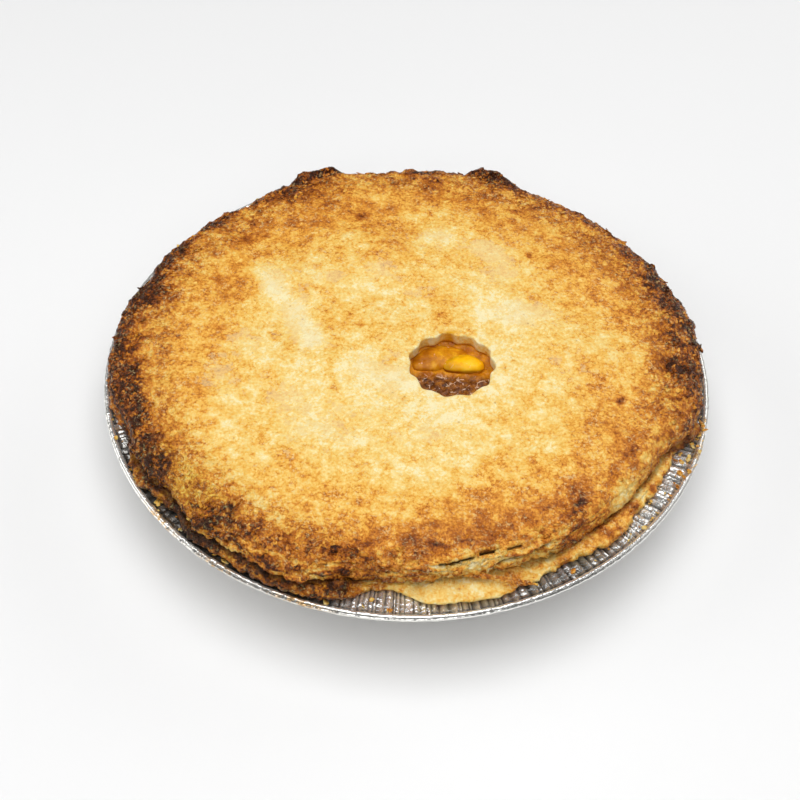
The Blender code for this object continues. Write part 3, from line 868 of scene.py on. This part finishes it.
def scattered(name, spots, seed, sizes, values, lean):
    """Small bent flakes of pastry as one mesh. spots are (point, normal), sizes (least, most)."""
    draw = random.Random(seed)
    points, faces, browning = [], [], []
    sides = 7
    for (point, normal), value in zip(spots, values):
        size = sizes[0] + (sizes[1] - sizes[0]) * draw.random() ** 2
        thick = size * draw.uniform(0.1, 0.22)
        tilt = Vector(normal) + Vector([draw.uniform(-lean, lean) for _ in range(3)])
        frame_turn = tilt.normalized().to_track_quat("Z", "Y")
        spin = draw.uniform(0, math.tau)
        stretch = draw.uniform(0.45, 1)
        bend = draw.uniform(-0.3, 0.5)
        reach = [draw.uniform(0.65, 1.1) for _ in range(sides)]
        start = len(points)
        for level in (-1, 1):
            for side in range(sides):
                angle = spin + math.tau * side / sides
                flat = Vector((math.cos(angle), math.sin(angle) * stretch, 0)) * reach[side] * size
                flat.z = bend * flat.x**2 / size + level * thick / 2
                points.append(Vector(point) + frame_turn @ flat)
        for level in (-1, 1):
            points.append(Vector(point) + frame_turn @ Vector((0, 0, level * thick * 0.8)))
        low, high = start + 2 * sides, start + 2 * sides + 1
        faces += strip(low, start, 1, sides) + strip(start, start + sides, sides, sides)
        faces += strip(start + sides, high, sides, 1)
        browning += [value] * (2 * sides + 2)
    piece = mesh_object(name, np.array(points), faces)
    put_values(piece, browning=browning, crumb=1)
    return piece


def edge_flakes(covering):
    """Flakes that stand on the lid's shoulder and edge, where baked dough breaks up."""
    points, normals = surface_of(covering)
    browning = np.empty(len(points))
    covering.data.attributes["browning"].data.foreach_get("value", browning)
    azimuth, radius = polar(points)
    draw = np.random.RandomState(101)
    likely = ease(radius, 92, 104) * (normals[:, 2] > -0.2)
    likely *= 1 - 0.85 * arc(azimuth, 305, 345, 6)
    likely *= 1 - 0.5 * arc(azimuth, 20, 166, 20)
    chosen = draw.choice(len(points), FLAKES, replace=False, p=likely / likely.sum())
    spots = [(points[i] - normals[i] * 0.1, normals[i]) for i in chosen]
    values = np.clip(browning[chosen] + draw.uniform(-0.18, 0.1, FLAKES), 0, 1)
    return scattered("crust_flakes", spots, 102, (0.5, 2.2), values, 0.2)


def sliver():
    """The thin brown sliver that sticks out over the front of the lip."""
    sides = 12
    angle = np.arange(sides) * math.tau / sides
    rings = []
    for step in np.linspace(0, len(SLIVER) - 1, 25):
        *middle, width = [np.interp(step, range(len(SLIVER)), column) for column in zip(*SLIVER)]
        across, up = width / 2 * np.cos(angle), SLIVER_THICKNESS / 2 * np.sin(angle)
        rings.append(middle + np.stack([0 * angle, -0.8 * across, up - 0.6 * across], axis=1))
    start, end = rings[0].mean(axis=0)[None], rings[-1].mean(axis=0)[None]
    piece, _ = skin("crust_sliver", [start, *rings, end])
    points, normals = surface_of(piece)
    put_points(piece, points + normals * (0.25 * fractal(points, 2.5, 121))[:, None])
    put_values(piece, browning=0.64 + 0.2 * fractal(points, 5, 122), crumb=1)
    return piece


def loose_crumbs():
    """Crumbs that fell on the flange and the bead, most of them at the right."""
    draw = np.random.RandomState(111)
    spots, values = [], []
    for centre, spread, low, high, count in CRUMBS:
        for _ in range(count):
            azimuth = math.radians(draw.normal(centre, spread))
            radius = draw.uniform(low, high)
            on_bead = max(0, 1 - ((radius - RIM_RADIUS + BEAD_RADIUS) / BEAD_RADIUS) ** 2)
            height = FLANGE_HEIGHT + 0.5 + BEAD_RADIUS * math.sqrt(on_bead)
            spots.append(((radius * math.cos(azimuth), radius * math.sin(azimuth), height), (0, 0, 1)))
            values.append(draw.uniform(0.25, 0.6))
    return scattered("loose_crumbs", spots, 112, (0.5, 1.7), values, 0.6)


# Materials


def linear(colour):
    """A screen colour, 0 to 255, as the linear values that shaders take."""
    shares = [channel / 255 for channel in colour]
    return [s / 12.92 if s <= 0.04045 else ((s + 0.055) / 1.055) ** 2.4 for s in shares] + [1]


class Nodes:
    """A small writer of node trees: each call adds one node and joins it up. Sizes are in millimetres."""

    def __init__(self, name, kind=bpy.data.materials, shader="Principled BSDF"):
        self.owner = kind.new(name)
        self.owner.use_nodes = True
        self.tree = self.owner.node_tree
        self.shader = self.tree.nodes[shader]
        self.coordinates = self.node("TexCoord").outputs

    def join(self, node, inputs):
        """Gives inputs, by name or number, a value or the output of another node."""
        for socket, value in inputs.items():
            if isinstance(value, bpy.types.NodeSocket):
                self.tree.links.new(value, node.inputs[socket])
            else:
                node.inputs[socket].default_value = value

    def node(self, kind, inputs=None, **settings):
        made = self.tree.nodes.new("ShaderNode" + kind)
        for name, value in settings.items():
            setattr(made, name, value)
        self.join(made, inputs or {})
        return made

    def math(self, operation, *values, clamp=False):
        return self.node("Math", dict(enumerate(values)), operation=operation, use_clamp=clamp).outputs[0]

    def noise(self, size, detail=2, roughness=0.5):
        inputs = {"Vector": self.coordinates["Object"], "Scale": 1 / (size * MM), "Detail": detail}
        return self.node("TexNoise", {**inputs, "Roughness": roughness}).outputs[0]

    def cells(self, size, feature="F1"):
        """Distances in irregular cells."""
        place = self.coordinates["Object"]
        warp = self.node("TexNoise", {"Vector": place, "Scale": 0.7 / (size * MM)}).outputs["Color"]
        inputs = {0: warp, 1: (size * MM,) * 3, 2: place}
        bent = self.node("VectorMath", inputs, operation="MULTIPLY_ADD").outputs[0]
        inputs = {"Vector": bent, "Scale": 1 / (size * MM)}
        return self.node("TexVoronoi", inputs, feature=feature).outputs["Distance"]

    def flecks(self, size):
        """Crisp irregular cells, each with a number of its own from 0 to 1, and the distances in them."""
        distance = self.cells(size)
        return self.node("SeparateColor", {0: distance.node.outputs["Color"]}).outputs["Red"], distance

    def value(self, name):
        return self.node("Attribute", attribute_name=name).outputs["Fac"]

    def ramp(self, value, stops):
        node = self.node("ValToRGB", {"Fac": value})
        band = node.color_ramp
        while len(band.elements) < len(stops):
            band.elements.new(1)
        for element, (position, colour) in zip(band.elements, stops):
            element.position = position
            element.color = linear(colour) if len(colour) == 3 else colour
        return node.outputs["Color"]

    def range(self, value, *limits):
        """Maps value from the first two limits to the last two."""
        return self.node("MapRange", dict(enumerate((value, *limits)))).outputs["Result"]

    def blend(self, share, first, second, mode="MIX"):
        inputs = {"Factor": share, "A": first, "B": second}
        return self.node("Mix", inputs, data_type="RGBA", blend_type=mode).outputs["Result"]

    def bump(self, height, distance, strength=1, under=None):
        inputs = {"Height": height, "Distance": distance * MM, "Strength": strength}
        return self.node("Bump", {**inputs, "Normal": under} if under else inputs).outputs["Normal"]

    def set(self, **values):
        self.join(self.shader, {name.replace("_", " "): value for name, value in values.items()})
        return self.owner


def crust_material():
    n = Nodes("baked_crust")
    browning, crumb = n.value("browning"), n.value("crumb")
    edge = n.range(crumb, 0.4, 1, 0, 1)
    small, small_gap = n.flecks(1.1)
    large, _ = n.flecks(2.6)
    grain = n.math("MULTIPLY", n.range(small, 0, 1, -1, 1), n.range(edge, 0, 1, 0.06, 0.14))
    chunks = n.math("MULTIPLY", n.range(large, 0, 1, -1, 1), n.range(edge, 0, 1, 0.04, 0.08))
    specks = n.range(n.noise(1.1, 3, 0.65), 0.35, 0.65, -0.11, 0.11)
    blotches = n.range(n.noise(5, 3, 0.6), 0.32, 0.68, -0.13, 0.13)
    cracks = n.range(n.cells(2.2, "DISTANCE_TO_EDGE"), 0, 0.1, 0.15, 0)
    cracks = n.math("MULTIPLY", cracks, n.range(n.noise(7, 2), 0.42, 0.56, 0, 1))
    pattern = n.math("ADD", n.math("ADD", grain, chunks), n.math("ADD", specks, blotches))
    # Sparse pale flecks on browned edges: painted sparkle highlights
    painted_sparkle = n.math("MULTIPLY", n.range(small, 0.8, 0.9, 0, -0.4), n.range(browning, 0.5, 0.8, 0, 1))
    pattern = n.math("ADD", pattern, n.math("MULTIPLY", painted_sparkle, edge))
    pattern = n.math("ADD", pattern, cracks)
    darker = n.math("MULTIPLY", n.math("MAXIMUM", pattern, 0), n.range(browning, 0.4, 0.75, 1, 0.66))
    shade = n.math("ADD", browning, n.math("ADD", darker, n.math("MINIMUM", pattern, 0)), clamp=True)
    colour = n.ramp(shade, CRUST_COLOURS)
    torn = n.range(n.noise(5, 5, 0.75), 0.3, 0.7, -0.55, 0.55)
    floury = n.range(n.math("ADD", n.value("flour"), torn), 0.42, 0.5, 0, 0.45)
    colour = n.blend(floury, colour, linear((240, 216, 160)))
    # Cream flecks where dough peels; the share kept on browned crust is painted sparkle
    peeled_and_sparkle = n.range(n.noise(1.3, 4, 0.75), 0.56, 0.6, 0, 0.7)
    peeled_and_sparkle = n.math("MULTIPLY", peeled_and_sparkle, n.range(n.noise(9, 3), 0.4, 0.55, 0, 1))
    peeled_and_sparkle = n.math("MULTIPLY", peeled_and_sparkle, n.range(browning, 0.8, 0.45, 0.55, 1))
    colour = n.blend(peeled_and_sparkle, colour, linear((240, 216, 152)))
    spots = n.range(n.cells(5.5), 0.1, 0.03, 0, 0.5)
    colour = n.blend(spots, colour, linear((166, 86, 30)))
    colour = n.blend(n.value("olive"), colour, (0.9, 1, 0.88, 1), "MULTIPLY")
    colour = n.blend(n.value("stain"), colour, linear((228, 164, 20)))
    # Painted shade: the fissures, the fold's crease and the lip under the lid's edge go dark
    colour = n.blend(n.math("MULTIPLY", n.value("dark"), 0.85), colour, linear((50, 30, 18)))
    relief = n.bump(n.noise(1.7, 4, 0.65), 0.9, n.range(crumb, 0, 1, 0.5, 1))
    relief = n.bump(n.range(small_gap, 0, 0.7, 1, 0), 0.45, n.range(edge, 0, 1, 0.25, 0.9), relief)
    relief = n.bump(n.noise(0.6, 2, 0.6), 0.3, 1, relief)
    gloss = n.range(browning, 0.4, 0.75, 0, -0.27)
    rough = n.math("ADD", n.range(n.noise(2.4, 2), 0.3, 0.7, 0.42, 0.66), gloss)
    return n.set(Base_Color=colour, Roughness=rough, Normal=relief, Specular_IOR_Level=0.22,
                 Subsurface_Weight=0.05, Subsurface_Radius=(0.003, 0.0015, 0.0007), Subsurface_Scale=1)


def foil_material():
    n = Nodes("aluminium_foil")
    tone = n.ramp(n.noise(9, 3), ((0.3, (0.96, 0.94, 0.89, 1)), (0.7, (1, 0.99, 0.95, 1))))
    wrinkle = n.bump(n.noise(2, 2, 0.5), 0.5, 0.8)
    wrinkle = n.bump(n.noise(0.8, 1), 0.1, 0.6, wrinkle)
    # Painted shade in the pleats' creases and the bead's seam, and the flange's darker patches
    darkening = n.math("POWER", n.value("groove"), 1.3)
    tone = n.blend(n.math("MULTIPLY", darkening, 0.98), tone, linear((42, 35, 26)))
    spotty = n.range(n.noise(2.2, 3, 0.7), 0.45, 0.55, 0, 0.85)
    spotty = n.math("MULTIPLY", spotty, n.value("stain"), clamp=True)
    tone = n.blend(spotty, tone, linear((214, 168, 96)))
    rough = n.range(n.noise(5, 2), 0.3, 0.7, 0.15, 0.27)
    return n.set(Base_Color=tone, Metallic=0.78, Roughness=rough, Normal=wrinkle)


def glints(n, colour, size, least):
    """Thin pale lines where a wet surface shines."""
    line = n.range(n.cells(size, "DISTANCE_TO_EDGE"), 0, 0.07, 1, 0)
    shown = n.range(n.noise(2.6, 2, 0.6), least, least + 0.08, 0, 0.9)
    return n.blend(n.math("MULTIPLY", line, shown), colour, linear((250, 214, 180)))


def syrup_material():
    n = Nodes("peach_syrup")
    stops = ((0.32, (60, 28, 10)), (0.5, (120, 66, 20)), (0.68, (180, 112, 38)))
    colour = n.ramp(n.noise(3, 3, 0.65), stops)
    flesh = n.ramp(n.noise(4, 3), ((0.35, (176, 98, 12)), (0.65, (228, 152, 26))))
    colour = n.blend(n.value("fruit"), glints(n, colour, 3, 0.5), flesh)
    relief = n.bump(n.noise(2, 3, 0.6), 1, 1)
    return n.set(Base_Color=colour, Roughness=0.2, Normal=relief, IOR=1.33, Specular_IOR_Level=0.3,
                 Coat_Weight=0.2, Coat_Roughness=0.05, Coat_Normal=relief,
                 Subsurface_Weight=0.05, Subsurface_Radius=(0.004, 0.0015, 0.0004), Subsurface_Scale=1)


def peach_material(name, stops):
    n = Nodes(name)
    colour = n.ramp(n.noise(4.5, 3, 0.6), stops)
    # Painted shade on the slice's sides, with a darker tone at its left end
    colour = glints(n, n.blend(n.value("rind"), colour, linear((146, 78, 10))), 3.4, 0.62)
    relief = n.bump(n.noise(2.4, 3, 0.55), 0.6, 0.8)
    return n.set(Base_Color=colour, Roughness=0.16, Normal=relief, IOR=1.34, Specular_IOR_Level=0.25,
                 Subsurface_Weight=0.1, Subsurface_Radius=(0.004, 0.0015, 0.0004), Subsurface_Scale=1)


def floor_material():
    n = Nodes("plain_floor")
    tone = n.ramp(n.noise(400, 2), ((0.3, (0.865, 0.865, 0.865, 1)), (0.7, (0.88, 0.88, 0.88, 1))))
    return n.set(Base_Color=tone, Roughness=0.75)


# Studio


def camera():
    elevation, roll = math.radians(CAMERA_ELEVATION), math.radians(CAMERA_ROLL)
    back = Vector((0, -math.cos(elevation), math.sin(elevation)))
    right = Vector((1, 0, 0))
    up = back.cross(right)
    across = math.cos(roll) * right + math.sin(roll) * up
    above = -math.sin(roll) * right + math.cos(roll) * up
    data = bpy.data.cameras.new("camera")
    data.lens = LENS
    data.sensor_width = SENSOR
    made = linked("camera", data)
    placed = Matrix((across, above, back)).transposed().to_4x4()
    placed.translation = CAMERA_TARGET + CAMERA_DISTANCE * back
    made.matrix_world = placed
    bpy.context.scene.camera = made


def panel(name, place, target, size, power):
    """A square soft light that faces target."""
    data = bpy.data.lights.new(name, "AREA")
    data.shape = "SQUARE"
    data.size = size
    data.energy = power
    made = linked(name, data)
    made.location = place
    made.rotation_euler = (Vector(target) - Vector(place)).to_track_quat("-Z", "Y").to_euler()


def surroundings():
    """Soft white light from above that fades to grey near the floor, and a pale backdrop behind it all."""
    n = Nodes("studio", bpy.data.worlds, "Background")
    height = n.node("SeparateXYZ", {0: n.coordinates["Generated"]}).outputs["Z"]
    light = n.ramp(height, ((0.1, (0.015, 0.015, 0.015, 1)), (0.8, (0.12, 0.12, 0.12, 1))))
    in_view = n.node("LightPath").outputs["Is Camera Ray"]
    bpy.context.scene.world = n.set(Color=n.blend(in_view, light, (0.8, 0.8, 0.8, 1)))


def studio():
    data = bpy.data.meshes.new("floor")
    data.from_pydata(circle(np.arange(90) * 4, FLOOR_RADIUS), [], [tuple(range(90))])
    floor = linked("floor", data)
    floor.location.z = -0.3 * MM
    data.materials.append(floor_material())
    for name, (place, size, power) in PANELS.items():
        panel(name, place, (0, 0, 0.03), size, power)
    surroundings()
    camera()
    bpy.context.scene.view_settings.view_transform = "Standard"
    bpy.context.scene.view_settings.look = "None"


def main():
    crust = crust_material()
    covering = dress(lid(), crust)
    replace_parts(covering, "crust")
    lining = dress(bottom_crust(), crust)
    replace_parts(lining, "crust")
    dress(edge_flakes(covering), crust)
    dress(loose_crumbs(), crust)
    dress(sliver(), crust)
    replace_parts(dress(foil_pan(), foil_material()), "foil_pan")
    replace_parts(dress(filling(), syrup_material()), "filling")
    peach_stops = {
        "peach_slice_front": ((0.3, (240, 162, 10)), (0.5, (254, 190, 18)), (0.7, (255, 208, 52))),
        "peach_slice_back": ((0.3, (164, 94, 12)), (0.5, (208, 132, 16)), (0.7, (246, 184, 42))),
    }
    for name, sizes in SLICES.items():
        piece = dress(slice_piece(name, *sizes), peach_material(name + "_flesh", peach_stops[name]))
        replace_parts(piece, name)
    studio()


main()
